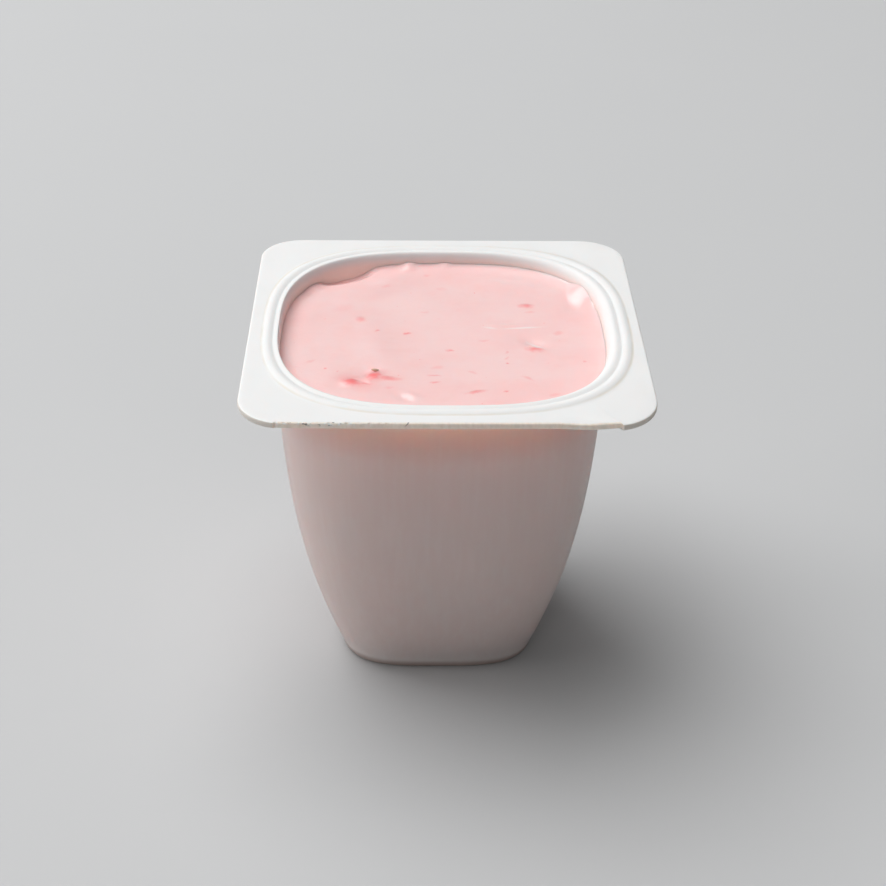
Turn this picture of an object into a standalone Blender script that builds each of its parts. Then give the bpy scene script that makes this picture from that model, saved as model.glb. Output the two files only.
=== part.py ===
"""A single-serve yogurt pot: an open, square-flanged thermoformed plastic pot and its strawberry yogurt.

Run it with: blender --background --python part.py
Metres, +Z up. The origin is on the ground under the middle of the flange. The front, where the flange was
snapped away from the next pot, faces -Y.
"""

import math

import bmesh
import bpy
from mathutils import Matrix, Vector

MM = 0.001

# Flange: a square sheet with rounded corners. Its front side is the snapped one.
FLANGE_HALF = 33.25 * MM
FLANGE_CORNER = 7.8 * MM
FLANGE_BACK_LEFT_CORNER = 7.1 * MM
FLANGE_TOP = 60.9 * MM
FLANGE_THICK = 1.1 * MM
FLANGE_EDGE_ROUND = 0.25 * MM
SNAP_HALF = 26.6 * MM
SNAP_SET_BACK = 0.1 * MM
SNAP_SAG = 0.15 * MM
SNAP_ROUND = 0.45 * MM
SNAP_STEP = 0.35 * MM
TAB_CURL = 0.3 * MM
TAB_CURL_START = 18.0 * MM

# Sealing ring round the mouth, a bead and then a lip: half-widths across X and heights above the flange.
RING_OUTER = 31.25 * MM
RING_GROOVE = 29.4 * MM
LIP_CREST = 28.6 * MM
BEAD_HEIGHT = 0.24 * MM
LIP_HEIGHT = 0.16 * MM
RING_SHIFT = 0.25 * MM
RING_POWER = 2.86

# Body: half-widths of the outer wall as the control values of one smooth curve, from under the flange to
# the base edge, and the power of its rounded-square section at both ends. The mouth is a little narrower
# from front to back than across.
WALL_WIDTHS = [28.45 * MM, 27.2 * MM, 27.15 * MM, 23.2 * MM, 17.85 * MM]
WALL_TOP = FLANGE_TOP - 2.0 * MM
WALL_BOTTOM = 1.15 * MM
POWER_TOP = 2.8
POWER_BOTTOM = 3.66
MOUTH_DEPTH_RATIO = 0.98
SKIN_TOP = 0.75 * MM
SKIN_BOTTOM = 0.5 * MM
FILLET = 0.8 * MM
BODY_SHIFT = -0.9 * MM
SHIFT_DEPTH = 3.5 * MM

# Base: a flat standing ring round a shallow recess.
STANDING_OUTER = 16.75 * MM
STANDING_INNER = 13.8 * MM
RECESS_HALF = 11.6 * MM
RECESS_HEIGHT = 1.3 * MM
BASE_SKIN = 0.8 * MM

# Yogurt: its level is given as a depth below the flat of the flange.
CLEARANCE = 0.3 * MM
LEVEL_DEPTH = 2.6 * MM
LEFT_DIP = 0.7 * MM
RIGHT_RISE = 0.25 * MM
BACK_RISE = 0.4 * MM
DIP_WIDTH = 0.2  # of the way from the wall to the middle

# The hollow that the lid pulled out at the back left, beside the wall.
HOLLOW_DEPTH = 1.6 * MM
HOLLOW_TURN = math.radians(126.0)
HOLLOW_SPREAD = math.radians(9.5)
HOLLOW_WIDTH = 0.1  # of the way from the wall to the middle

# Swells and dents of the surface: middle X and Y, spread along and across, turn in degrees, height.
SWELLS = [
    (-14.0 * MM, 17.0 * MM, 9.0 * MM, 3.0 * MM, 28.0, 0.45 * MM),
    (-6.2 * MM, 26.3 * MM, 1.6 * MM, 1.2 * MM, 60.0, 0.5 * MM),
    (0.4 * MM, 26.6 * MM, 1.2 * MM, 1.0 * MM, 90.0, 0.3 * MM),
    (11.8 * MM, 19.0 * MM, 8.0 * MM, 1.8 * MM, -12.0, 0.3 * MM),
    (11.5 * MM, 4.2 * MM, 5.0 * MM, 0.9 * MM, 0.0, 0.18 * MM),
    (15.0 * MM, -1.8 * MM, 3.0 * MM, 1.4 * MM, -45.0, -0.35 * MM),
    (-13.8 * MM, -12.4 * MM, 3.2 * MM, 1.6 * MM, 20.0, -0.35 * MM),
    (-12.0 * MM, -2.0 * MM, 3.0 * MM, 9.0 * MM, 10.0, 0.25 * MM),
    (4.0 * MM, -6.0 * MM, 10.0 * MM, 7.0 * MM, 20.0, -0.25 * MM),
]

# Fruit in the surface: name, middle X and Y, length, width, turn in degrees, height above the surface.
FRUIT = [
    ("piece_left", -15.8 * MM, -15.4 * MM, 3.6 * MM, 2.2 * MM, -35.0, 0.35 * MM),
    ("piece_right", -12.2 * MM, -12.9 * MM, 2.8 * MM, 2.2 * MM, 70.0, 0.4 * MM),
    ("piece_tail", -9.8 * MM, -14.1 * MM, 3.6 * MM, 1.0 * MM, -12.0, 0.2 * MM),
    ("seed", -12.0 * MM, -11.7 * MM, 1.3 * MM, 0.9 * MM, 5.0, 0.65 * MM),
    ("bit_back", 14.5 * MM, 12.0 * MM, 2.0 * MM, 1.5 * MM, 20.0, 0.25 * MM),
    ("bit_right", 15.2 * MM, -3.8 * MM, 2.3 * MM, 1.4 * MM, -8.0, 0.35 * MM),
    ("bit_front", 4.75 * MM, -18.5 * MM, 3.1 * MM, 0.9 * MM, 18.0, 0.2 * MM),
    ("bit_left", -14.6 * MM, 6.1 * MM, 2.4 * MM, 1.0 * MM, 110.0, 0.2 * MM),
]
FRUIT_SUNK = 0.6  # how far a lump reaches below the surface, as a share of its width

# How finely the round shapes are divided.
COLUMNS = 80
DIAGONAL_CROWDING = 0.5
WALL_STEPS = 11
FILLET_STEPS = 3
BEAD_STEPS = 4
LIP_STEPS = 5
FILL_STEPS = 6
SURFACE_STEPS = 12
SHARP_ANGLE = math.radians(40.0)

PLASTIC = (0.86, 0.86, 0.85, 1.0)
PINK = (0.93, 0.63, 0.58, 1.0)


def column_angles():
    """Directions of the mesh columns, closer together at the corners, with a pair at each end of the snap."""
    turn = 2.0 * math.pi
    angles = []
    for index in range(COLUMNS):
        even = turn * index / COLUMNS
        angles.append(even + DIAGONAL_CROWDING * math.sin(4.0 * even) / 4.0)
    for side in (-1.0, 1.0):
        for reach in (SNAP_HALF, SNAP_HALF + SNAP_STEP):
            angles.append(math.atan2(-FLANGE_HALF, side * reach) % turn)
    return sorted(angles)


def blend(start, end, share):
    """A value between start and end that eases in and out as share goes from 0 to 1."""
    share = min(max(share, 0.0), 1.0)
    return start + (end - start) * share * share * (3.0 - 2.0 * share)


def bezier(values, share):
    """The value of a Bezier curve with these control values."""
    last = len(values) - 1
    return sum(
        math.comb(last, index) * (1.0 - share) ** (last - index) * share**index * value
        for index, value in enumerate(values)
    )


def rounded_square(angle, half, left_back_corner, corner):
    """The point of a rounded square in this direction. One corner has its own radius."""
    across, along = math.cos(angle), math.sin(angle)
    radius = left_back_corner if across < 0.0 < along else corner
    major, minor = max(abs(across), abs(along)), min(abs(across), abs(along))
    centre = half - radius
    if minor * half <= major * centre:
        reach = half / major
    else:
        middle = centre * (major + minor)
        reach = middle + math.sqrt(middle * middle - 2.0 * centre * centre + radius * radius)
    return reach * across, reach * along


def is_snapped(x, y):
    """True on the stretch of the front edge that was snapped from the next pot."""
    return y < 0.0 and abs(x) <= 1.001 * SNAP_HALF and abs(y) > abs(x)


def flange_point(angle, inset, snap_inset, height):
    """A point of the flange's edge. The snapped stretch is set back, and the tab right of it curls down."""
    x, y = rounded_square(angle, FLANGE_HALF, FLANGE_BACK_LEFT_CORNER, FLANGE_CORNER)
    if is_snapped(x, y):
        inset = snap_inset
        y += SNAP_SET_BACK + SNAP_SAG * (x / SNAP_HALF) ** 2
    elif x > 0.0 > y:
        height -= blend(0.0, TAB_CURL, (-y - TAB_CURL_START) / (FLANGE_HALF - TAB_CURL_START))
    shrink = 1.0 - inset / FLANGE_HALF
    return x * shrink, y * shrink, height


def squircle(angle, half_x, half_y, power):
    """The point in this direction of a rounded-square section with curved sides."""
    across, along = math.cos(angle), math.sin(angle)
    total = (abs(across) / half_x) ** power + (abs(along) / half_y) ** power
    reach = total ** (-1.0 / power)
    return reach * across, reach * along


def body_shift(height):
    """How far the body's middle is from the flange's middle along X at this height."""
    return BODY_SHIFT * (1.0 - math.exp((height - FLANGE_TOP) / SHIFT_DEPTH))


def wall_share(height):
    """0 at the top of the wall and 1 at the base edge."""
    return min(max((WALL_TOP - height) / (WALL_TOP - WALL_BOTTOM), 0.0), 1.0)


def wall_point(angle, height, inset):
    """A point of the body's wall, inset from its outer face."""
    share = wall_share(height)
    half = bezier(WALL_WIDTHS, share) - inset
    depth_ratio = MOUTH_DEPTH_RATIO + (1.0 - MOUTH_DEPTH_RATIO) * share
    power = POWER_TOP + (POWER_BOTTOM - POWER_TOP) * share
    x, y = squircle(angle, half, half * depth_ratio, power)
    return x + body_shift(height), y


def wall_skin(height):
    """How thick the wall is: the sheet thins as it is drawn down."""
    return SKIN_TOP + (SKIN_BOTTOM - SKIN_TOP) * wall_share(height)


def flange_ring(inset, snap_inset, height):
    """One loop of points along the flange's edge, with an inset of its own on the snapped stretch."""
    return [flange_point(angle, inset, snap_inset, height) for angle in column_angles()]


def seal_ring(half, height):
    """One loop of points of the sealing ring round the mouth."""
    points = [squircle(angle, half, half * MOUTH_DEPTH_RATIO, RING_POWER) for angle in column_angles()]
    return [(x + RING_SHIFT, y, height) for x, y in points]


def wall_ring(height, inset, level=None):
    """One loop of points of the wall, at its own height or moved to another level."""
    level = height if level is None else level
    return [(*wall_point(angle, height, inset), level) for angle in column_angles()]


def base_ring(half, height):
    """One loop of points under or inside the base."""
    shift = body_shift(0.0)
    rings = [squircle(angle, half, half, POWER_BOTTOM) for angle in column_angles()]
    return [(x + shift, y, height) for x, y in rings]


def quarter(steps):
    """Pairs of sine and cosine from 0 to a quarter turn."""
    turns = [0.5 * math.pi * index / steps for index in range(steps + 1)]
    return [(math.sin(turn), math.cos(turn)) for turn in turns]


def outer_rings():
    """Loops from the base recess, over the outside of the wall, to the top of the flange's edge."""
    rings = [
        base_ring(RECESS_HALF, RECESS_HEIGHT),
        base_ring(STANDING_INNER, 0.0),
        base_ring(STANDING_OUTER, 0.0),
    ]
    edge = WALL_WIDTHS[-1] - STANDING_OUTER
    for sine, cosine in quarter(FILLET_STEPS)[1:-1]:
        rings.append(base_ring(STANDING_OUTER + edge * sine, WALL_BOTTOM * (1.0 - cosine)))
    under = FLANGE_TOP - FLANGE_THICK
    for index in range(WALL_STEPS + 1):
        rings.append(wall_ring(WALL_BOTTOM + (under - FILLET - WALL_BOTTOM) * index / WALL_STEPS, 0.0))
    for sine, cosine in quarter(FILLET_STEPS)[1:]:
        rings.append(wall_ring(under - FILLET, -FILLET * (1.0 - cosine), under - FILLET * (1.0 - sine)))
    for sine, cosine in quarter(FILLET_STEPS):
        inset = FLANGE_EDGE_ROUND * (1.0 - sine)
        rings.append(flange_ring(inset, inset, under + FLANGE_EDGE_ROUND * (1.0 - cosine)))
    for sine, cosine in quarter(FILLET_STEPS):
        inset, snap_inset = FLANGE_EDGE_ROUND * (1.0 - cosine), SNAP_ROUND * (1.0 - cosine)
        rings.append(flange_ring(inset, snap_inset, FLANGE_TOP - FLANGE_EDGE_ROUND * (1.0 - sine)))
    return rings


def inner_rings():
    """Loops from the flat of the flange, over the sealing ring, down the inside to the floor of the pot."""
    rings = []
    for index in range(BEAD_STEPS + 1):
        share = index / BEAD_STEPS
        half = RING_OUTER + (RING_GROOVE - RING_OUTER) * share
        rings.append(seal_ring(half, FLANGE_TOP + BEAD_HEIGHT * math.sin(math.pi * share)))
    rise = math.sin(math.pi / 4.0)
    rings.append(seal_ring((RING_GROOVE + LIP_CREST) / 2.0, FLANGE_TOP + LIP_HEIGHT * rise))
    crest = seal_ring(LIP_CREST, FLANGE_TOP + LIP_HEIGHT)
    mouth = wall_ring(WALL_TOP, SKIN_TOP)
    for sine, cosine in quarter(LIP_STEPS)[:-1]:
        rings.append([
            (
                high[0] + (low[0] - high[0]) * sine,
                high[1] + (low[1] - high[1]) * sine,
                high[2] + (low[2] - high[2]) * (1.0 - cosine),
            )
            for high, low in zip(crest, mouth)
        ])
    floor = RECESS_HEIGHT + BASE_SKIN
    corner = WALL_BOTTOM + BASE_SKIN
    for index in range(WALL_STEPS):
        height = WALL_TOP + (corner - WALL_TOP) * index / (WALL_STEPS - 1)
        rings.append(wall_ring(height, wall_skin(height)))
    rings.append(base_ring(STANDING_OUTER - BASE_SKIN, BASE_SKIN))
    rings.append(base_ring(STANDING_INNER, BASE_SKIN))
    rings.append(base_ring(RECESS_HALF - BASE_SKIN, floor))
    return rings


def swell(x, y, middle_x, middle_y, along, across, turn, height):
    """The height that one smooth swell adds at this place."""
    turned = math.radians(turn)
    over, up = x - middle_x, y - middle_y
    first = (over * math.cos(turned) + up * math.sin(turned)) / along
    second = (up * math.cos(turned) - over * math.sin(turned)) / across
    return height * math.exp(-first * first - second * second)


def surface_height(angle, x, y, share):
    """The height of the yogurt's surface at this place. share is 0 in the middle and 1 at the wall."""
    level = FLANGE_TOP - LEVEL_DEPTH
    edge = math.exp(-(((1.0 - share) / DIP_WIDTH) ** 2))
    level -= edge * LEFT_DIP * max(-math.cos(angle), 0.0)
    level += edge * RIGHT_RISE * max(math.cos(angle), 0.0)
    level += edge * BACK_RISE * max(math.sin(angle), 0.0)
    hollow = ((1.0 - share) / HOLLOW_WIDTH) ** 2 + ((angle - HOLLOW_TURN) / HOLLOW_SPREAD) ** 2
    level -= HOLLOW_DEPTH * math.exp(-(hollow**2))
    return level + sum(swell(x, y, *numbers) for numbers in SWELLS)


def surface_ring(share):
    """One loop of the yogurt's surface, this share of the way out to the wall."""
    height = FLANGE_TOP - LEVEL_DEPTH
    shift = body_shift(height)
    ring = []
    for angle in column_angles():
        x, y = wall_point(angle, height, wall_skin(height) + CLEARANCE)
        x, y = shift + (x - shift) * share, y * share
        ring.append((x, y, surface_height(angle, x, y, share)))
    return ring


def yogurt_rings():
    """Loops from the bottom of the filling, up beside the wall, and in over the surface."""
    floor = RECESS_HEIGHT + BASE_SKIN + CLEARANCE
    trough = BASE_SKIN + CLEARANCE
    rings = [
        base_ring(RECESS_HALF - BASE_SKIN, floor),
        base_ring(STANDING_INNER, trough),
        base_ring(STANDING_OUTER - BASE_SKIN - CLEARANCE, trough),
    ]
    bottom = WALL_BOTTOM + BASE_SKIN + CLEARANCE
    top = FLANGE_TOP - LEVEL_DEPTH - LEFT_DIP - HOLLOW_DEPTH - CLEARANCE
    for index in range(FILL_STEPS + 1):
        height = bottom + (top - bottom) * index / FILL_STEPS
        rings.append(wall_ring(height, wall_skin(height) + CLEARANCE))
    for index in range(SURFACE_STEPS):
        rings.append(surface_ring(1.0 - index / SURFACE_STEPS))
    return rings


def fruit_lump(x, y, length, width, turn, rise):
    """The mesh of a rounded lump of fruit, sunk in the surface but for its rise."""
    shift = body_shift(FLANGE_TOP - LEVEL_DEPTH)
    angle = math.atan2(y, x - shift) % (2.0 * math.pi)
    edge_x, edge_y = wall_point(angle, FLANGE_TOP - LEVEL_DEPTH, wall_skin(FLANGE_TOP))
    share = math.hypot(x - shift, y) / math.hypot(edge_x - shift, edge_y)
    level = surface_height(angle, x, y, share)
    mesh = bmesh.new()
    bmesh.ops.create_icosphere(mesh, subdivisions=2, radius=1.0)
    sunk = FRUIT_SUNK * width
    size = Matrix.Diagonal((length / 2.0, width / 2.0, (rise + sunk) / 2.0, 1.0))
    place = Matrix.Translation((x, y, level + (rise - sunk) / 2.0))
    mesh.transform(place @ Matrix.Rotation(math.radians(turn), 4, "Z") @ size)
    return mesh


def fuse(piece, lumps):
    """Joins the lumps to the piece as one solid, and removes them."""
    group = bpy.data.collections.new("fruit")
    for lump in lumps:
        bpy.context.scene.collection.objects.unlink(lump)
        group.objects.link(lump)
    bpy.context.scene.collection.children.link(group)
    union = piece.modifiers.new("fruit", "BOOLEAN")
    union.operation = "UNION"
    union.operand_type = "COLLECTION"
    union.collection = group
    union.solver = "EXACT"
    depsgraph = bpy.context.evaluated_depsgraph_get()
    joined = bpy.data.meshes.new_from_object(piece.evaluated_get(depsgraph))
    piece.modifiers.remove(union)
    piece.data = joined
    for lump in lumps:
        bpy.data.objects.remove(lump)
    bpy.data.collections.remove(group)


def loft(rings):
    """A closed mesh through these loops, with each end filled by a fan to its middle."""
    mesh = bmesh.new()
    loops = [[mesh.verts.new(Vector(point)) for point in ring] for ring in rings]
    count = len(loops[0])
    for lower, upper in zip(loops, loops[1:]):
        for index in range(count):
            following = (index + 1) % count
            mesh.faces.new((lower[index], lower[following], upper[following], upper[index]))
    for loop, flip in ((loops[0], True), (loops[-1], False)):
        centre = sum((vertex.co for vertex in loop), Vector()) / count
        middle = mesh.verts.new(centre)
        for index in range(count):
            corners = [loop[index], loop[(index + 1) % count], middle]
            mesh.faces.new(reversed(corners) if flip else corners)
    bmesh.ops.recalc_face_normals(mesh, faces=mesh.faces)
    return mesh


def add_object(name, mesh, finish):
    """An object with this mesh, smooth but for its sharp edges, in this material."""
    data = bpy.data.meshes.new(name)
    mesh.to_mesh(data)
    mesh.free()
    data.shade_smooth()
    data.set_sharp_from_angle(angle=SHARP_ANGLE)
    data.materials.append(finish)
    piece = bpy.data.objects.new(name, data)
    bpy.context.scene.collection.objects.link(piece)
    return piece


def material(name, colour, roughness):
    """A plain material of one colour."""
    finish = bpy.data.materials.new(name)
    finish.use_nodes = True
    shader = finish.node_tree.nodes["Principled BSDF"]
    shader.inputs["Base Color"].default_value = colour
    shader.inputs["Roughness"].default_value = roughness
    shader.inputs["Metallic"].default_value = 0.0
    return finish


def main():
    for old in list(bpy.data.objects):
        bpy.data.objects.remove(old)
    add_object("pot", loft(outer_rings() + inner_rings()), material("white_plastic", PLASTIC, 0.35))
    filling = material("yogurt", PINK, 0.25)
    yogurt = add_object("yogurt", loft(yogurt_rings()), filling)
    fuse(yogurt, [add_object(name, fruit_lump(*numbers), filling) for name, *numbers in FRUIT])


main()
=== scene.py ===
"""An open pot of strawberry yogurt: the fine surfaces, the finishes and a plain studio around them.

The pot is one thermoformed sheet of white plastic, a little see-through, so that light which sinks into the
yogurt comes out again through the wall under the flange. Metres, +Z up, the snapped edge faces -Y.
"""

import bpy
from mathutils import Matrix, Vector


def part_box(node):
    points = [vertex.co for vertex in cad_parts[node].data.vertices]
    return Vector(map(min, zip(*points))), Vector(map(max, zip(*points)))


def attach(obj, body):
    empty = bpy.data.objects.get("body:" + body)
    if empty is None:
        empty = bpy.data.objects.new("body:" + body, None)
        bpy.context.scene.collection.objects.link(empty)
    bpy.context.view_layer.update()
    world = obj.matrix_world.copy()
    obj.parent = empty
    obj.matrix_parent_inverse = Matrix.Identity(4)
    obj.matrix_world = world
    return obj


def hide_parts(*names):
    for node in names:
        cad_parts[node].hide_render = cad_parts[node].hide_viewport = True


bl_info = {
    "name": "Yogurt Pot",
    "version": (1, 0, 0),
    "blender": (4, 5, 0),
    "location": "3D View > Sidebar > Yogurt Pot",
    "description": "Models an open square-flanged pot of strawberry yogurt in a plain studio",
    "category": "Add Mesh",
}

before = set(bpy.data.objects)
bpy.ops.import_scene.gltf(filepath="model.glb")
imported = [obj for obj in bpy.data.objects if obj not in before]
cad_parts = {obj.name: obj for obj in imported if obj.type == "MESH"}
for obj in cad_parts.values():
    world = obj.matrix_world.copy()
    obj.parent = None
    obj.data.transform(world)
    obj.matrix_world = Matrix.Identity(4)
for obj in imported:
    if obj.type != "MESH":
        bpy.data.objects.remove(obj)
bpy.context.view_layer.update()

import math

import bmesh
import bpy
import numpy as np
from bpy.props import FloatProperty, FloatVectorProperty, PointerProperty
from mathutils import Vector, noise

POT_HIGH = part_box("pot")[1]

MM = 0.001
TURN = 2.0 * math.pi

# The pot's finishes, in the order of its material slots.
SHEET, TORN, DRAWN, LIP, CUT = range(5)

# How far off a flat a face may be and still belong to it.
MARGIN = 0.02 * MM

# How deep and how far past its ends the snapped face may reach.
SNAP_DEPTH, SNAP_END = 1.4 * MM, 0.1 * MM

# The snapped edge's break marks, its grit and its mean depth.
BREAK_MARKS, BREAK_GRIT, BREAK_DEPTH = 0.035 * MM, 0.012 * MM, 0.026 * MM

# Below this depth yogurt stands behind the wall all round.
FILLED_DEPTH = 4.9 * MM

# How far out a steep face is when it belongs to the flange's cut edge.
CUT_EDGE_OUT = 30.4 * MM

# Swells and dents of the surface, in mm: middle X and Y, spread along and across, turn in degrees, height.
SWELLS = [
    (-14.0, 17.0, 9.0, 3.0, 28.0, 0.45),
    (-6.2, 26.3, 1.6, 1.2, 60.0, 0.5),
    (0.4, 26.6, 1.2, 1.0, 90.0, 0.3),
    (11.8, 19.0, 8.0, 1.8, -12.0, 0.3),
    (15.0, -1.8, 3.0, 1.4, -45.0, -0.35),
    (-13.8, -12.4, 3.2, 1.6, 20.0, -0.35),
    (-12.0, -2.0, 3.0, 9.0, 10.0, 0.25),
    (4.0, -6.0, 10.0, 7.0, 20.0, -0.25),
]

# Fruit in the surface, in mm: middle X and Y, length, width, turn in degrees, rise, redness.
FRUIT = [
    (-15.6, -15.7, 3.6, 2.5, -25.0, 0.16, 0.8),
    (-11.95, -13.7, 3.2, 2.6, 70.0, 0.25, 0.8),
    (-9.6, -14.5, 4.2, 1.5, -12.0, 0.08, 0.5),
    (14.6, 11.4, 2.7, 1.7, -6.0, 0.15, 0.55),
    (15.3, -4.35, 3.0, 1.8, -8.0, 0.2, 0.6),
    (4.75, -18.95, 3.4, 0.8, 18.0, 0.12, 0.5),
    (-14.6, 6.1, 2.2, 1.8, 110.0, 0.08, 0.4),
]

# Flecks that only colour the surface, in mm: middle X and Y, length, width, turn in degrees, redness.
FLECKS = [
    (-15.0, -15.6, 7.4, 4.6, -33.0, 0.26),
    (-12.0, -13.6, 5.0, 4.4, 60.0, 0.3),
    (-13.6, -16.3, 3.4, 0.9, -10.0, 0.45),
    (-6.45, 1.1, 1.3, 0.7, 10.0, 0.6),
    (-11.6, 1.85, 1.0, 0.6, 25.0, 0.45),
    (0.75, -4.55, 1.3, 0.8, -10.0, 0.55),
    (19.6, 1.3, 1.8, 1.2, 30.0, 0.24),
    (13.5, -14.35, 2.2, 0.8, -40.0, 0.3),
    (-1.9, -15.7, 1.8, 0.5, 8.0, 0.45),
    (-1.9, -13.4, 2.2, 0.5, 0.0, 0.4),
    (-1.4, -10.5, 2.2, 1.2, 20.0, 0.18),
    (-20.1, -11.0, 0.6, 0.5, 0.0, 0.6),
    (10.4, -5.2, 1.0, 0.5, 70.0, 0.3),
    (10.3, -7.4, 1.2, 0.6, 60.0, 0.25),
    (10.4, -9.2, 0.6, 0.5, 0.0, 0.6),
    (-10.2, 18.5, 2.0, 1.2, 40.0, 0.22),
    (-3.0, 23.0, 1.4, 0.8, 10.0, 0.22),
    (-0.4, 18.0, 2.2, 1.4, -20.0, 0.12),
    (9.6, -18.7, 0.8, 0.6, 0.0, 0.55),
    (-22.5, -8.2, 1.6, 0.8, 30.0, 0.2),
    (-3.5, 9.0, 1.6, 0.8, 0.0, 0.16),
    (15.2, 9.2, 1.8, 0.8, 10.0, 0.22),
    (23.4, -9.0, 0.8, 0.6, 0.0, 0.35),
    (6.6, -1.2, 1.8, 0.9, 10.0, 0.22),
    (-17.8, 10.4, 4.0, 2.6, 20.0, 0.1),
    (-9.4, -17.6, 1.6, 0.7, 10.0, 0.2),
    (4.4, -12.2, 1.8, 0.8, -40.0, 0.22),
    (17.4, -20.0, 2.2, 0.8, 25.0, 0.2),
]

# Wet patches that are tilted to catch the window, in mm: middle X and Y, length, width, turn in degrees,
# and how far each stands above the level around it, as a share of its own tilt.
GLINTS = [
    (24.0, 14.3, 7.6, 3.8, 85.0, 0.9),
    (-6.3, -20.6, 3.6, 2.3, -35.0, 0.0),
    (-23.8, 17.4, 3.0, 2.0, 40.0, 0.0),
    (-13.65, -15.3, 2.9, 0.9, -28.0, 0.0),
]

# Pale streaks painted along the ridge and beside the right fruit, painted highlights, in mm: middle X and Y,
# length, width, turn in degrees, paleness.
PAINTED_GLINTS = [
    (7.9, 3.3, 2.6, 0.7, -16.0, 0.5),
    (13.6, 3.3, 6.8, 0.6, 6.0, 0.65),
    (15.5, -2.75, 3.7, 0.8, -43.0, 0.6),
]

# The raised line above them, in mm: its middle, half its length and width, its sag and its wave's length.
RIDGE_X, RIDGE_Y = 11.5, 4.4
RIDGE_HALF_LENGTH, RIDGE_HALF_WIDTH = 5.5, 0.45
RIDGE_SAG, RIDGE_WAVE = 0.25, 14.0


def metres(name, description, millimetres):
    """A length property whose default is given in millimetres."""
    return FloatProperty(
        name=name, description=description, default=millimetres * MM, unit="LENGTH", precision=5
    )


def colour(name, description, default):
    """A colour property."""
    return FloatVectorProperty(
        name=name, description=description, default=default, size=3, subtype="COLOR", min=0.0, max=1.0
    )


def share(name, description, default):
    """A property from 0 to 1."""
    return FloatProperty(
        name=name, description=description, default=default, subtype="FACTOR", min=0.0, max=1.0
    )


def angle(name, description, degrees):
    """An angle property whose default is given in degrees."""
    return FloatProperty(
        name=name, description=description, default=math.radians(degrees), subtype="ANGLE"
    )


def xyz(name, description, default):
    """A place, in metres."""
    return FloatVectorProperty(
        name=name, description=description, default=default, size=3, subtype="XYZ", unit="LENGTH", precision=5
    )


def watts(name, description, default):
    """The power of a light."""
    return FloatProperty(name=name, description=description, default=default, min=0.0, unit="POWER")


class PotSizes(bpy.types.PropertyGroup):
    """The driving sizes of the plastic pot."""

    flange_half: metres("Flange Half", "Half the width of the square flange", POT_HIGH.x / MM)
    flange_top: metres("Flange Height", "Height of the flat of the flange", 60.9)
    flange_thick: metres("Sheet", "Thickness of the sheet at the flange", 1.1)
    flange_corner: metres("Corner", "Radius of the flange's corners", 7.8)
    flange_back_left_corner: metres("Back Left Corner", "Radius of the tighter corner at the back left", 7.1)
    flange_edge_round: metres("Edge Round", "Radius of the flange's edge", 0.25)
    snap_half: metres("Snap Half", "Half the length of the snapped stretch of the front edge", 27.0)
    snap_step: metres("Snap Step", "Width of the step at each end of the snapped stretch", 0.5)
    snap_set_back: metres("Snap Set-back", "How far the snapped stretch stands back", 0.1)
    snap_sag: metres("Snap Sag", "How much further it stands back at its ends", 0.15)
    snap_round: metres("Snap Round", "How far the upper edge of the snap is worn back", 0.45)
    tab_curl: metres("Tab Curl", "How far the front right corner curls down", 0.3)
    tab_curl_start: metres("Curl Start", "Where the curl starts, in front of the middle", 18.0)
    ring_outer: metres("Ring Outer", "Half-width of the sealing bead at its outer crease", 31.25)
    ring_groove: metres("Ring Groove", "Half-width of the groove between bead and lip", 29.4)
    lip_crest: metres("Lip Crest", "Half-width of the lip at its crest", 28.6)
    bead_height: metres("Bead Height", "How far the sealing bead rises", 0.24)
    lip_height: metres("Lip Height", "How far the lip rises", 0.16)
    ring_shift: metres("Ring Shift", "How far the ring is from the flange's middle", 0.25)
    wall_widths: FloatVectorProperty(
        name="Wall", description="Half-widths that steer the curve of the wall, from the flange to the base",
        default=(28.45 * MM, 27.2 * MM, 27.15 * MM, 23.2 * MM, 17.85 * MM),
        size=5, unit="LENGTH", precision=5,
    )
    skin_top: metres("Skin Top", "Thickness of the wall at the mouth", 0.75)
    skin_bottom: metres("Skin Bottom", "Thickness of the wall at the base", 0.5)
    fillet: metres("Fillet", "Radius between the wall and the flange", 0.8)
    body_shift: metres("Body Shift", "How far the body is from the flange's middle", -0.9)
    shift_depth: metres("Shift Depth", "Depth over which the body moves across", 3.5)
    standing_outer: metres("Standing Outer", "Half-width of the standing ring outside", 16.75)
    standing_inner: metres("Standing Inner", "Half-width of the standing ring inside", 13.8)
    recess_half: metres("Recess Half", "Half-width of the recess under the base", 11.6)
    recess_height: metres("Recess Height", "Height of the recess under the base", 1.3)
    base_skin: metres("Base Skin", "Thickness of the base", 0.8)


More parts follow.
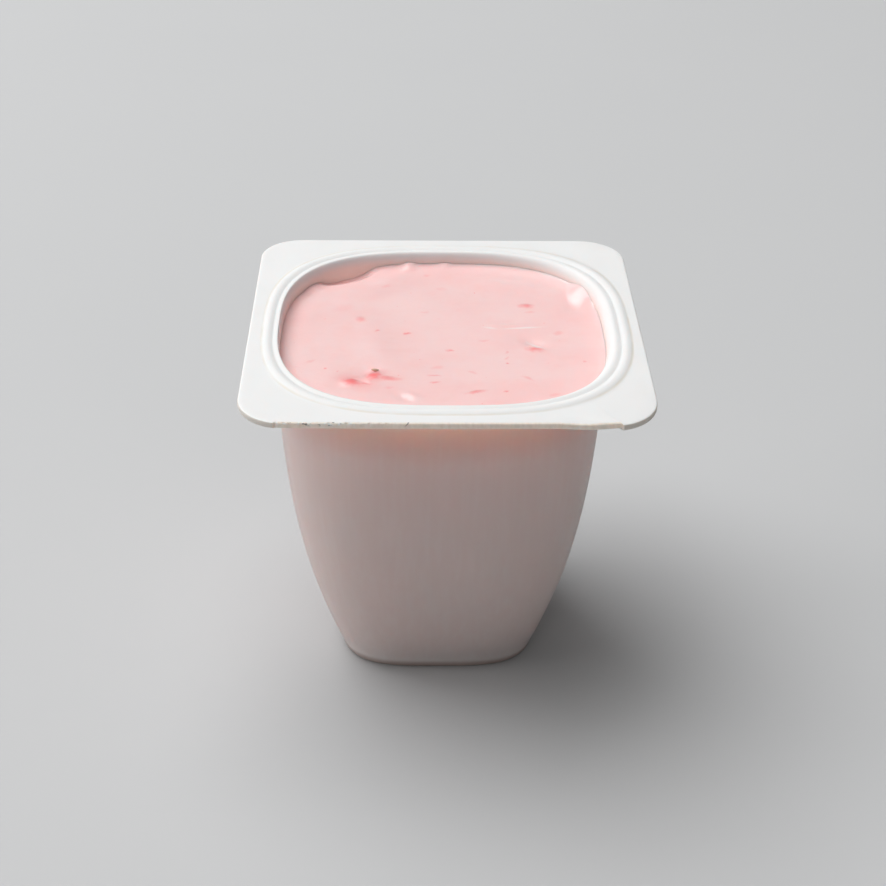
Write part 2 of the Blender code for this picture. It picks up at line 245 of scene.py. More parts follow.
class YogurtSizes(bpy.types.PropertyGroup):
    """The driving sizes of the filling."""

    level_depth: metres("Level", "Depth of the surface below the flat of the flange", 2.6)
    left_dip: metres("Left Dip", "How far the surface sinks at the left wall", 0.7)
    right_rise: metres("Right Rise", "How far the surface climbs the right wall", 0.25)
    back_rise: metres("Back Rise", "How far the surface climbs the back wall", 0.4)
    dip_width: share("Dip Width", "Share of the way to the middle over which the edge dips and rises", 0.2)
    hollow_depth: metres("Hollow", "Depth of the hollow that the lid pulled out at the back left", 1.6)
    hollow_turn: angle("Hollow Turn", "Direction of the hollow", 126.0)
    hollow_spread: angle("Hollow Spread", "Width of the hollow along the wall", 9.5)
    hollow_width: share("Hollow Width", "Width of the hollow, as a share of the way to the middle", 0.1)
    ridge_height: metres("Ridge", "Height of the thin fold on the right", 0.12)
    seed_length: metres("Seed Length", "Length of the strawberry seed", 1.3)
    seed_width: metres("Seed Width", "Width of the strawberry seed", 0.5)
    seed_place: xyz(
        "Seed Place", "Middle of the seed, from the middle of the yogurt's level surface",
        (-11.75 * MM, -12.02 * MM, 0.2 * MM),
    )
    meniscus: metres("Meniscus", "How far the surface is drawn up where it meets the wall", 0.3)
    meniscus_width: share(
        "Meniscus Width", "Width of the drawn-up edge, as a share of the way to the middle", 0.018
    )
    bite: metres("Bite", "How far the filling reaches into the wall, so that no gap shows", 0.07)


class Finishes(bpy.types.PropertyGroup):
    """The colours of the plastic, the yogurt and the fruit."""

    plastic: colour("Plastic", "White thermoformed sheet", (0.81, 0.81, 0.805))
    # Painted shade: the flange's edge faces get a darker, warmer copy of the white sheet.
    cut: colour("Cut Edge", "The flange's edge all round", (0.68, 0.64, 0.59))
    # Painted shade: a faint warm line along the outer crease of the sealing bead.
    crease_shade: colour("Seal Line", "The faint line round the sealing bead", (0.72, 0.66, 0.55))
    # Partly a film of yogurt on the inner wall, partly painted pink bounce light from the yogurt below.
    film_and_bounce: colour("Film", "Yogurt that clings to the wall above the surface", (1.0, 0.80, 0.74))
    plastic_body: colour("Filled Plastic", "The drawn wall, with yogurt behind it", (0.93, 0.85, 0.825))
    mouth: colour("Mouth", "The thinner sheet inside the lip", (0.82, 0.815, 0.81))
    see_through_top: share("See-through Top", "How see-through the drawn wall is under the flange", 1.0)
    see_through: share("See-through", "How see-through the drawn wall is further down", 0.55)
    draw_line: colour("Draw Lines", "Paler lines down the drawn wall", (1.0, 0.98, 0.97))
    mottle: colour("Mottle", "Darker patches of the drawn wall", (0.88, 0.84, 0.82))
    torn: colour("Torn Plastic", "The snapped edge", (0.81, 0.74, 0.665))
    torn_pale: colour("Pale Marks", "Paler break marks of the snapped edge", (0.90, 0.83, 0.76))
    burr: colour("Burrs", "White burrs along the upper left of the snapped edge", (0.88, 0.88, 0.87))
    # Near-black, painted in flecks along the nicks of the snapped edge's upper left and in one thin tick.
    nick_flecks: colour("Soil", "Dirt caught in the nicks of the snapped edge", (0.16, 0.16, 0.15))
    yogurt: colour("Yogurt", "The pale pink of the yogurt", (1.0, 0.612, 0.6))
    yogurt_cream: colour("Cream", "Paler streaks in the yogurt", (1.0, 0.66, 0.648))
    blush: colour("Blush", "Pinker patches in the yogurt", (0.95, 0.52, 0.50))
    yogurt_deep: colour("Deep Yogurt", "The yogurt behind the wall", (0.99, 0.71, 0.67))
    fruit: colour("Fruit", "Strawberry flesh at the surface", (0.93, 0.16, 0.17))
    # Painted highlight: pale streaks where the ridge and folds would catch the light.
    fold: colour("Fold", "Thin folds of cream", (1.0, 0.86, 0.85))
    # Painted shade: the wall's rounded edge at the base is darkened in its colour.
    painted_base_shade: colour("Base", "The wall's rounded edge at the base, where it is darkest", (0.52, 0.40, 0.36))
    seed: colour("Seed", "Strawberry seed", (0.62, 0.44, 0.32))
    seed_line: colour("Seed Lines", "Paler lines along the seed", (0.64, 0.47, 0.35))
    floor: colour("Floor", "The plain floor", (0.55, 0.555, 0.56))
    floor_patch: colour("Floor Patches", "Faint paler patches of the floor", (0.6, 0.6, 0.6))


class Studio(bpy.types.PropertyGroup):
    """The camera and the lights."""

    camera_place: xyz("Camera Place", "Where the camera stands", (-0.00614645, -0.26014303, 0.19797505))
    camera_turn: FloatVectorProperty(
        name="Camera Turn", description="How the camera is turned",
        default=tuple(math.radians(turn) for turn in (58.224897, -0.666380, -0.924243)),
        size=3, subtype="EULER", unit="ROTATION",
    )
    lens: FloatProperty(name="Lens", description="Focal length in millimetres", default=69.7693, min=1.0)
    nearest: metres("Nearest", "How near to the camera things still show", 10.0)
    key_power: watts("Key", "Power of the large soft light at the back left", 51.5)
    key_place: xyz("Key Place", "Where the large soft light hangs", (-0.65, 0.55, 1.9))
    key_size: metres("Key Size", "Side of the large soft light", 2000.0)
    front_power: watts("Front", "Power of the soft light on the camera's side", 2.8)
    front_place: xyz("Front Place", "Where the soft light on the camera's side stands", (0.15, -1.3, 0.9))
    front_size: metres("Front Size", "Side of the front light", 1200.0)
    side_power: watts("Side", "Power of the low soft light on the left", 7.3)
    side_place: xyz("Side Place", "Where the low soft light on the left stands", (-1.3, -0.1, 0.24))
    side_size: metres("Side Size", "Side of the low soft light", 900.0)
    window_power: watts("Window", "Power of the light that glints in the wet surface", 0.17)
    window_place: xyz(
        "Window Place", "Where the light that glints in the wet surface hangs", (-0.16, 0.68, 0.6)
    )
    window_width: metres("Window Width", "Width of the light that glints in the wet surface", 160.0)
    window_height: metres("Window Height", "Height of the light that glints in the wet surface", 120.0)
    fill: share("Fill", "Strength of the even light from all around", 0.1)
    floor_size: metres("Floor Size", "Side of the floor", 6000.0)


def deselect_all():
    """Leaves nothing selected and no piece active."""
    bpy.ops.object.select_all(action="DESELECT")
    bpy.context.view_layer.objects.active = None


def ease(start, end, position):
    """A value between start and end that eases in and out as the position goes from 0 to 1."""
    position = np.clip(position, 0.0, 1.0)
    return start + (end - start) * position * position * (3.0 - 2.0 * position)


def bezier(values, position):
    """The value of a Bezier curve with these control values."""
    last = len(values) - 1
    return sum(
        math.comb(last, index) * (1.0 - position) ** (last - index) * position**index * value
        for index, value in enumerate(values)
    )


def quarter(steps):
    """Pairs of sine and cosine from 0 to a quarter turn."""
    turns = [0.25 * TURN * index / steps for index in range(steps + 1)]
    return [(math.sin(turn), math.cos(turn)) for turn in turns]


class PotForm:
    """The pot's outline at every height, as rings of points round its axis."""

    POWER_TOP, POWER_BOTTOM, RING_POWER = 2.8, 3.66, 2.86
    MOUTH_DEPTH_RATIO = 0.98
    CORNER_CROWDING = 0.5
    CURL_POWER = 2.5
    WALL_START, WALL_END = 2.0 * MM, 1.15 * MM

    def __init__(self, sizes, columns, with_snap):
        self.sizes = sizes
        self.under = sizes.flange_top - sizes.flange_thick
        self.wall_top = sizes.flange_top - self.WALL_START
        even = np.linspace(0.0, TURN, columns, endpoint=False)
        angles = even + self.CORNER_CROWDING * np.sin(4.0 * even) / 4.0
        if with_snap:
            reaches = (sizes.snap_half, sizes.snap_half + sizes.snap_step)
            ends = [
                math.atan2(-sizes.flange_half, side * reach) % TURN
                for side in (-1.0, 1.0)
                for reach in reaches
            ]
            angles = np.sort(np.concatenate([angles, ends]))
        self.angles = angles

    def level(self, x, y, height):
        """A ring of points at one height."""
        return np.stack([x, y, np.broadcast_to(height, x.shape)], axis=1)

    def flange_ring(self, inset, snap_inset, height):
        """A ring along the flange's edge, set back on the snapped stretch and curled down right of it."""
        s = self.sizes
        across, along = np.cos(self.angles), np.sin(self.angles)
        radius = np.where((across < 0.0) & (along > 0.0), s.flange_back_left_corner, s.flange_corner)
        major = np.maximum(abs(across), abs(along))
        minor = np.minimum(abs(across), abs(along))
        centre = s.flange_half - radius
        middle = centre * (major + minor)
        arc = middle + np.sqrt(np.maximum(middle**2 - 2.0 * centre**2 + radius**2, 0.0))
        reach = np.where(minor * s.flange_half <= major * centre, s.flange_half / major, arc)
        x, y = reach * across, reach * along
        snapped = (y < 0.0) & (abs(x) <= 1.001 * s.snap_half) & (abs(y) > abs(x))
        y = y + np.where(snapped, s.snap_set_back + s.snap_sag * (x / s.snap_half) ** 2, 0.0)
        curl = ease(0.0, s.tab_curl, (-y - s.tab_curl_start) / (s.flange_half - s.tab_curl_start))
        heights = height - np.where(~snapped & (x > 0.0) & (y < 0.0), curl, 0.0)
        shrink = 1.0 - np.where(snapped, snap_inset, inset) / s.flange_half
        return self.level(x * shrink, y * shrink, heights)

    def squircle(self, half_x, half_y, power):
        """A rounded-square section with curved sides."""
        across, along = np.cos(self.angles), np.sin(self.angles)
        reach = ((abs(across) / half_x) ** power + (abs(along) / half_y) ** power) ** (-1.0 / power)
        return reach * across, reach * along

    def shift(self, height):
        """How far the body's middle is from the flange's middle at this height."""
        s = self.sizes
        return s.body_shift * (1.0 - math.exp((height - s.flange_top) / s.shift_depth))

    def wall_share(self, height):
        """0 at the top of the wall and 1 at the base edge."""
        return min(max((self.wall_top - height) / (self.wall_top - self.WALL_END), 0.0), 1.0)

    def skin(self, height):
        """How thick the wall is: the sheet thins as it is drawn down."""
        s = self.sizes
        return s.skin_top + (s.skin_bottom - s.skin_top) * self.wall_share(height)

    def wall_ring(self, height, inset, level=None):
        """A ring of the wall, inset from its outer face, at its own height or moved to another level."""
        position = self.wall_share(height)
        half = bezier(self.sizes.wall_widths, position) - inset
        depth = half * (self.MOUTH_DEPTH_RATIO + (1.0 - self.MOUTH_DEPTH_RATIO) * position)
        x, y = self.squircle(half, depth, self.POWER_TOP + (self.POWER_BOTTOM - self.POWER_TOP) * position)
        return self.level(x + self.shift(height), y, height if level is None else level)

    def seal_ring(self, half, height):
        """A ring of the seal round the mouth."""
        x, y = self.squircle(half, half * self.MOUTH_DEPTH_RATIO, self.RING_POWER)
        return self.level(x + self.sizes.ring_shift, y, height)

    def base_ring(self, half, height):
        """A ring under or inside the base."""
        x, y = self.squircle(half, half, self.POWER_BOTTOM)
        return self.level(x + self.shift(0.0), y, height)


def between(start, end, steps):
    """The rings that divide the way from one ring to another evenly, without the two ends."""
    return [start + (end - start) * index / steps for index in range(1, steps)]


def extrude_shell(name, rings):
    """A closed shell: a circle extruded once for each ring, and both ends drawn together in the middle."""
    deselect_all()
    bpy.ops.mesh.primitive_circle_add(vertices=len(rings[0]), radius=float(rings[0][:, 0].max()))
    piece = bpy.context.active_object
    piece.name = name
    piece.data.name = name
    bpy.ops.object.mode_set(mode="EDIT")
    mesh = bmesh.from_edit_mesh(piece.data)
    first = list(mesh.verts)
    loop = first
    for index, ring in enumerate(rings):
        if index:
            bpy.ops.mesh.extrude_region_move()
            loop = [next(e.other_vert(v) for e in v.link_edges if e.other_vert(v).select) for v in loop]
        for vertex, place in zip(loop, ring):
            vertex.co = place
    close_end(mesh, loop)
    close_end(mesh, first)
    bmesh.update_edit_mesh(piece.data)
    if mesh.calc_volume(signed=True) < 0.0:
        bpy.ops.mesh.select_all(action="SELECT")
        bpy.ops.mesh.flip_normals()
    bpy.ops.object.mode_set(mode="OBJECT")
    return piece


def close_end(mesh, loop):
    """Draws the open end of a shell together in its middle."""
    bpy.ops.mesh.select_all(action="DESELECT")
    for vertex in loop:
        vertex.select = True
    mesh.select_flush(True)
    bpy.ops.mesh.extrude_region_move()
    bpy.ops.mesh.merge(type="CENTER")


def check_closed(piece):
    """Raises an error if an edge of the piece doesn't have just two faces."""
    mesh = bmesh.new()
    mesh.from_mesh(piece.data)
    closed = all(edge.is_manifold for edge in mesh.edges)
    mesh.free()
    if not closed:
        raise RuntimeError(f"{piece.name} isn't closed")


def finish_piece(piece, finish, sharp_angle):
    """Smooths the piece but for its sharp edges, gives it its finish and lets it ride on the body."""
    check_closed(piece)
    deselect_all()
    piece.select_set(True)
    bpy.context.view_layer.objects.active = piece
    bpy.ops.object.shade_smooth_by_angle(angle=sharp_angle)
    for material in finish:
        piece.data.materials.append(material)
    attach(piece, "root")


def base_rings(form):
    """From the recess under the base, over the standing ring, to the base's rounded edge."""
    s = form.sizes
    slope_steps, edge_steps = 6, 6
    rings = []
    for index in range(slope_steps + 1):
        half = s.recess_half + (s.standing_inner - s.recess_half) * index / slope_steps
        rings.append(form.base_ring(half, float(ease(s.recess_height, 0.0, index / slope_steps))))
    edge = s.wall_widths[-1] - s.standing_outer
    for sine, cosine in quarter(edge_steps)[:-1]:
        rings.append(form.base_ring(s.standing_outer + edge * sine, form.WALL_END * (1.0 - cosine)))
    return rings


def outer_rings(form):
    """Up the outside of the wall, and out through the fillet under the flange."""
    s = form.sizes
    wall_steps, fillet_steps = 56, 6
    fillet_start = form.under - s.fillet
    rings = []
    for index in range(wall_steps + 1):
        height = form.WALL_END + (fillet_start - form.WALL_END) * index / wall_steps
        rings.append(form.wall_ring(height, 0.0))
    for sine, cosine in quarter(fillet_steps)[1:]:
        out = -s.fillet * (1.0 - cosine)
        rings.append(form.wall_ring(fillet_start, out, form.under - s.fillet * (1.0 - sine)))
    return rings


def flange_rings(form, start):
    """From the fillet's last ring out under the flange, round its edge, and in over its flat to the bead."""
    s = form.sizes
    under_steps, round_steps, side_steps, flat_steps = 4, 4, 4, 9
    edge_round = s.flange_edge_round
    rings = between(start, form.flange_ring(edge_round, edge_round, form.under), under_steps)
    for sine, cosine in quarter(round_steps):
        inset = edge_round * (1.0 - sine)
        rings.append(form.flange_ring(inset, inset, form.under + edge_round * (1.0 - cosine)))
    top_round = []
    for sine, cosine in quarter(round_steps):
        inset, snap_inset = edge_round * (1.0 - cosine), s.snap_round * (1.0 - cosine)
        top_round.append(form.flange_ring(inset, snap_inset, s.flange_top - edge_round * (1.0 - sine)))
    rings += between(rings[-1], top_round[0], side_steps) + top_round
    drop = rings[-1][:, 2] - s.flange_top
    flat = between(rings[-1], form.seal_ring(s.ring_outer, s.flange_top), flat_steps)
    for index, ring in enumerate(flat, start=1):
        ring[:, 2] = s.flange_top + drop * (1.0 - index / flat_steps) ** form.CURL_POWER
    return rings + flat


def seal_rings(form):
    """Over the sealing bead and the lip, and down into the mouth."""
    s = form.sizes
    bead_steps, lip_steps, mouth_steps = 12, 5, 12
    rings = []
    for index in range(bead_steps + 1):
        half = s.ring_outer + (s.ring_groove - s.ring_outer) * index / bead_steps
        rise = s.bead_height * math.sin(0.5 * TURN * index / bead_steps)
        rings.append(form.seal_ring(half, s.flange_top + rise))
    for index in range(1, lip_steps):
        half = s.ring_groove + (s.lip_crest - s.ring_groove) * index / lip_steps
        rise = s.lip_height * math.sin(0.25 * TURN * index / lip_steps)
        rings.append(form.seal_ring(half, s.flange_top + rise))
    high = form.seal_ring(s.lip_crest, s.flange_top + s.lip_height)
    low = form.wall_ring(form.wall_top, s.skin_top)
    for sine, cosine in quarter(mouth_steps)[:-1]:
        rings.append(high + (low - high) * np.array([sine, sine, 1.0 - cosine]))
    return rings


def inner_rings(form):
    """Down the inside of the wall, in finer steps where it shows, and in over the floor of the pot."""
    s = form.sizes
    shown, shown_steps, hidden_steps = 4.0 * MM, 12, 24
    start, corner = form.wall_top - shown, form.WALL_END + s.base_skin
    heights = [form.wall_top - shown * index / shown_steps for index in range(shown_steps)]
    heights += [start + (corner - start) * index / hidden_steps for index in range(hidden_steps + 1)]
    rings = [form.wall_ring(height, form.skin(height)) for height in heights]
    rings.append(form.base_ring(s.standing_outer - s.base_skin, s.base_skin))
    rings.append(form.base_ring(s.standing_inner, s.base_skin))
    rings.append(form.base_ring(s.recess_half - s.base_skin, s.recess_height + s.base_skin))
    return rings


def pot_rings(form):
    """The rings of the pot, from the recess under its base, over its outside, to its inner floor."""
    rings = base_rings(form) + outer_rings(form)
    rings += flange_rings(form, rings[-1])
    return rings + seal_rings(form) + inner_rings(form)


def in_snap_face(centre, normal, s):
    """True for a face of the snapped edge: at the front, between the flange's two flats, facing out."""
    low, high = s.flange_top - s.flange_thick, s.flange_top - MARGIN
    facing = normal.y < -0.25
    front = -centre.y > s.flange_half - SNAP_DEPTH
    return facing and front and abs(centre.x) < s.snap_half + SNAP_END and low < centre.z < high


def roughen_snap(piece, s):
    """Divides the snapped edge finely and tears it."""
    bpy.context.view_layer.objects.active = piece
    bpy.ops.object.mode_set(mode="EDIT")
    bpy.ops.mesh.select_all(action="DESELECT")
    bpy.ops.mesh.select_mode(type="FACE")
    mesh = bmesh.from_edit_mesh(piece.data)
    for face in mesh.faces:
        if in_snap_face(face.calc_center_median(), face.normal, s):
            face.select = True
            face.material_index = TORN
    mesh.select_flush(True)
    bpy.ops.mesh.subdivide(number_cuts=4)
    mesh = bmesh.from_edit_mesh(piece.data)
    for vertex in mesh.verts:
        if vertex.select:
            tear(vertex, s)
    bmesh.update_edit_mesh(piece.data)
    bpy.ops.mesh.select_mode(type="VERT")
    bpy.ops.mesh.select_all(action="DESELECT")
    bpy.ops.object.mode_set(mode="OBJECT")


def tear(vertex, s):
    """Moves a point of the snapped edge: break marks and grit all along it, nicks along its upper left."""
    x, _, z = vertex.co
    fade, edge_margin, nick_start, deepest, lowest = 0.6 * MM, 0.06 * MM, 0.2, 0.35, 0.15
    middle = s.flange_top - s.flange_thick / 2.0
    up = (z - middle) / (s.flange_thick / 2.0)
    hold = min(1.0, (s.snap_half + SNAP_END - abs(x)) / fade)
    marks = noise.fractal(Vector((x / (0.55 * MM), z / (2.4 * MM), 3.0)), 1.0, 2.0, 4)
    grit = noise.noise(Vector((x / (0.16 * MM), z / (0.3 * MM), 9.0)))
    vertex.co.y += hold * (BREAK_MARKS * marks + BREAK_GRIT * grit + BREAK_DEPTH)
    battered = float(ease(0.0, 1.0, (-x - 1.0 * MM) / (12.0 * MM)))
    chip = noise.fractal(Vector((x / (0.9 * MM), 4.0, z / (0.8 * MM))), 1.0, 2.0, 3)
    depth = max(chip - (0.42 - 0.3 * battered), 0.0) * (0.12 + 0.55 * battered)
    if up > nick_start and z < s.flange_top - edge_margin:
        reach = hold * (up - nick_start) * MM
        vertex.co.y += reach * min(depth, deepest)
        vertex.co.z -= reach * min(0.5 * depth, lowest)


def is_drawn_wall(centre, normal, s):
    """True for a face of the thin wall and the base: outside up to the flange, inside up to the yogurt."""
    if centre.z < s.flange_top - FILLED_DEPTH:
        return True
    outside = centre.x * normal.x + centre.y * normal.y > 0.0
    below = centre.z < s.flange_top - s.flange_thick - MARGIN
    return outside and below and outward(centre) < s.ring_outer


def is_mouth(centre, s):
    """True for a face of the mouth, from the crest of the lip inward and down."""
    across = abs(centre.x - s.ring_shift) / s.lip_crest
    along = abs(centre.y) / (s.lip_crest * PotForm.MOUTH_DEPTH_RATIO)
    return across**PotForm.RING_POWER + along**PotForm.RING_POWER < 1.0


def is_cut_edge(centre, normal):
    """True for a face of the flange's edge."""
    steep = abs(normal.z) < 0.7
    return steep and outward(centre) > CUT_EDGE_OUT


def outward(centre):
    """How far out a face is, by the larger of its X and Y."""
    return max(abs(centre.x), abs(centre.y))


def mark_wall(piece, s):
    """Gives the drawn wall, the inside of the lip and the flange's cut edge their own finishes."""
    for face in piece.data.polygons:
        if face.material_index == TORN:
            continue
        if is_drawn_wall(face.center, face.normal, s):
            face.material_index = DRAWN
        elif is_mouth(face.center, s):
            face.material_index = LIP
        elif is_cut_edge(face.center, face.normal):
            face.material_index = CUT
        else:
            face.material_index = SHEET


def bend_flange(piece, s):
    """Bends the sheet down a little in front of the crease that runs out to the right end of the snap."""
    crease_start = Vector((20.3 * MM, -31.1 * MM))
    crease_end = Vector((26.3 * MM, -32.9 * MM))
    crease_width, bend = 1.1 * MM, 0.22 * MM
    bend_start, bend_start_length = 17.0 * MM, 4.0 * MM
    bend_end, bend_end_length = 26.4 * MM, 0.8 * MM
    rear = -30.0 * MM
    under = s.flange_top - s.flange_thick - 0.1 * MM
    run = (crease_end - crease_start).normalized()
    front = Vector((run.y, -run.x))
    for vertex in piece.data.vertices:
        x, y, z = vertex.co
        if z < under or y > rear or not bend_start < x < bend_end + bend_end_length:
            continue
        past = (Vector((x, y)) - crease_start).dot(front) / crease_width
        along = float(ease(0.0, 1.0, (x - bend_start) / bend_start_length))
        fade = float(ease(1.0, 0.0, (x - bend_end) / bend_end_length))
        vertex.co.z -= bend * float(ease(0.0, 1.0, past)) * along * fade


class NodeBoard:
    """Adds shader nodes to a material and joins them."""

    def __init__(self, name):
        self.material = bpy.data.materials.new(name)
        self.material.use_nodes = True
        self.tree = self.material.node_tree
        self.tree.nodes.clear()
        self.place = self.add("ShaderNodeTexCoord").outputs["Object"]

    def add(self, kind, settings=None, **inputs):
        """A node with these settings. An input is a value or another node's output."""
        node = self.tree.nodes.new(kind)
        for key, value in (settings or {}).items():
            setattr(node, key, value)
        for key, value in inputs.items():
            socket = node.inputs[int(key[1:])] if key[1:].isdigit() else node.inputs[key.replace("_", " ")]
            if isinstance(value, bpy.types.NodeSocket):
                self.tree.links.new(value, socket)
            else:
                socket.default_value = value
        return node

    def math(self, operation, first, second=0.0):
        """The result of a Math node."""
        return self.add("ShaderNodeMath", {"operation": operation}, _0=first, _1=second).outputs[0]

    def noise(self, scale, detail=3.0, roughness=0.5, place=None):
        """A noise from 0 to 1 with this many waves to the metre."""
        node = self.add(
            "ShaderNodeTexNoise", Vector=place or self.place, Scale=scale, Detail=detail, Roughness=roughness
        )
        return node.outputs["Fac"]

    def stretch(self, scale):
        """Object coordinates stretched by a Mapping node."""
        return self.add("ShaderNodeMapping", Vector=self.place, Scale=scale).outputs["Vector"]

    def ramp(self, value, low, high, start=0.0, end=1.0):
        """The value smoothly brought from low..high to start..end."""
        node = self.add(
            "ShaderNodeMapRange", {"interpolation_type": "SMOOTHSTEP"},
            Value=value, From_Min=low, From_Max=high, To_Min=start, To_Max=end,
        )
        return node.outputs["Result"]

    def times(self, first, *others):
        """The product of several values."""
        for other in others:
            first = self.math("MULTIPLY", first, other)
        return first

    def mix(self, factor, first, second):
        """Two colours mixed by a factor. Each is a colour or another node's output."""
        first, second = whole(first), whole(second)
        return self.add("ShaderNodeMix", {"data_type": "RGBA"}, _0=factor, _6=first, _7=second).outputs[2]

    def axis(self, index):
        """One of the three Object coordinates."""
        return self.add("ShaderNodeSeparateXYZ", Vector=self.place).outputs[index]

    def bump(self, height, strength, distance, under=None):
        """A bump of the surface, on top of another one."""
        inputs = {"Height": height, "Strength": strength, "Distance": distance}
        if under is not None:
            inputs["Normal"] = under
        return self.add("ShaderNodeBump", **inputs).outputs["Normal"]

    def finish(self, **inputs):
        """Joins a Principled shader with these inputs to the material's output and returns the material."""
        skin = self.add("ShaderNodeBsdfPrincipled", **inputs)
        self.add("ShaderNodeOutputMaterial", Surface=skin.outputs[0])
        return self.material


def whole(value):
    """A colour with its fourth number. Another node's output stays as it is."""
    return value if isinstance(value, bpy.types.NodeSocket) else (*value, 1.0)


def crease_line(board, half, s):
    """1 on a thin line round the sealing bead at this half-width, and 0 away from it."""
    power = PotForm.RING_POWER
    across = board.math("ABSOLUTE", board.math("SUBTRACT", board.axis(0), s.ring_shift))
    along = board.math("ABSOLUTE", board.axis(1))
    first = board.math("POWER", board.math("DIVIDE", across, half), power)
    second = board.math("POWER", board.math("DIVIDE", along, half * PotForm.MOUTH_DEPTH_RATIO), power)
    reach = board.math("POWER", board.math("ADD", first, second), 1.0 / power)
    off = board.math("ABSOLUTE", board.math("SUBTRACT", reach, 1.0))
    return board.ramp(off, 0.35 * MM / half, 0.05 * MM / half)


def sheet_material(name, tone, low_tone, low, high, sink, line=None):
    """Thick white sheet with a faint moulded grain, whose tone changes from high to low.

    sink is how far light sinks into it. line is the colour, the half-width and the sizes of a line of painted
    shade along the bead's outer crease.
    """
    board = NodeBoard(name)
    darker = [0.97 * part for part in tone]
    base = board.mix(board.ramp(board.noise(90.0), 0.3, 0.7, 0.0, 0.6), tone, darker)
    base = board.mix(board.ramp(board.axis(2), high, low), base, low_tone)
    # Painted shade along the bead's outer crease, broken up by noise.
    if line:
        line_tone, half, s = line
        worn = board.ramp(board.noise(160.0, 2.0), 0.3, 0.65, 0.25, 1.0)
        base = board.mix(board.times(crease_line(board, half, s), worn, 0.5), base, line_tone)
    waves = board.noise(220.0, 2.0)
    relief = board.bump(waves, 0.08, 0.2 * MM)
    relief = board.bump(board.noise(2600.0), 0.06, 0.03 * MM, relief)
    return board.finish(
        Base_Color=base, Roughness=board.ramp(waves, 0.3, 0.7, 0.5, 0.6), Normal=relief,
        IOR=1.5, Specular_IOR_Level=0.35,
        Subsurface_Weight=1.0, Subsurface_Radius=(1.0, 0.85, 0.8), Subsurface_Scale=sink,
    )


def wall_material(finishes, s):
    """Thin drawn sheet: the yogurt shows blurred through it, most of all under the flange."""
    board = NodeBoard("drawn_plastic")
    height = board.axis(2)
    draw_lines = board.noise(1.0, 4.0, place=board.stretch((900.0, 900.0, 18.0)))
    tone = board.mix(board.ramp(draw_lines, 0.35, 0.75, 0.0, 0.3), finishes.plastic_body, finishes.draw_line)
    tone = board.mix(board.ramp(board.noise(90.0), 0.3, 0.7, 0.0, 0.3), tone, finishes.mottle)
    # Painted shade: the wall's tone darkens towards its rounded edge at the base.
    tone = board.mix(board.ramp(height, 2.4 * MM, 0.6 * MM), tone, finishes.painted_base_shade)
    waves = board.noise(220.0, 2.0)
    under = s.flange_top - s.flange_thick
    clear_start, clear_end = under - 12.0 * MM, under - 2.0 * MM
    brim = s.flange_top - 3.0 * MM
    through = board.times(
        board.ramp(height, clear_start, clear_end, finishes.see_through, finishes.see_through_top),
        board.ramp(height, 1.0 * MM, 5.0 * MM, 0.55, 1.0),
        board.ramp(height, brim - 1.8 * MM, brim, 1.0, 0.3),
    )
    return board.finish(
        Base_Color=tone, Roughness=board.ramp(waves, 0.3, 0.7, 0.42, 0.48),
        Normal=board.bump(waves, 0.12, 0.25 * MM), IOR=1.45, Transmission_Weight=through,
    )


def torn_material(finishes, s):
    """The snapped edge: matt beige plastic with break marks, pale burrs and near-black flecks in the nicks.
    """
    board = NodeBoard("torn_plastic")
    across = board.axis(0)
    height = board.axis(2)
    marks = board.noise(1.0, 5.0, place=board.stretch((1500.0, 600.0, 520.0)))
    pits = board.noise(1.0, 4.0, 0.6, place=board.stretch((850.0, 900.0, 2300.0)))
    burrs = board.noise(1.0, place=board.stretch((1500.0, 900.0, 1300.0)))
    upper = board.ramp(height, s.flange_top - 0.75 * MM, s.flange_top - 0.25 * MM)
    battered = board.times(upper, board.ramp(across, -8.0 * MM, -20.0 * MM))
    nick_mask = board.times(battered, board.ramp(pits, 0.57, 0.63))
    slant = board.math("ADD", across, board.times(board.math("SUBTRACT", height, s.flange_top), -0.9))
    off = board.math("ABSOLUTE", board.math("ADD", slant, 6.2 * MM))
    tick = board.times(board.ramp(off, 0.16 * MM, 0.06 * MM, 0.0, 0.8), upper)
    tone = board.mix(board.ramp(marks, 0.3, 0.72), finishes.torn, finishes.torn_pale)
    # Near-black flecks in the nicks of the upper left, and one thin slanted tick.
    tone = board.mix(board.math("MAXIMUM", nick_mask, tick), tone, finishes.nick_flecks)
    tone = board.mix(board.times(battered, board.ramp(burrs, 0.5, 0.58)), tone, finishes.burr)
    relief = board.bump(marks, 0.35, 0.1 * MM)
    relief = board.bump(board.noise(5200.0, 2.0), 0.35, 0.04 * MM, relief)
    return board.finish(
        Base_Color=tone, Roughness=0.7, Normal=relief, Specular_IOR_Level=0.3,
        Subsurface_Weight=1.0, Subsurface_Radius=(1.0, 0.8, 0.7), Subsurface_Scale=0.5 * MM,
    )


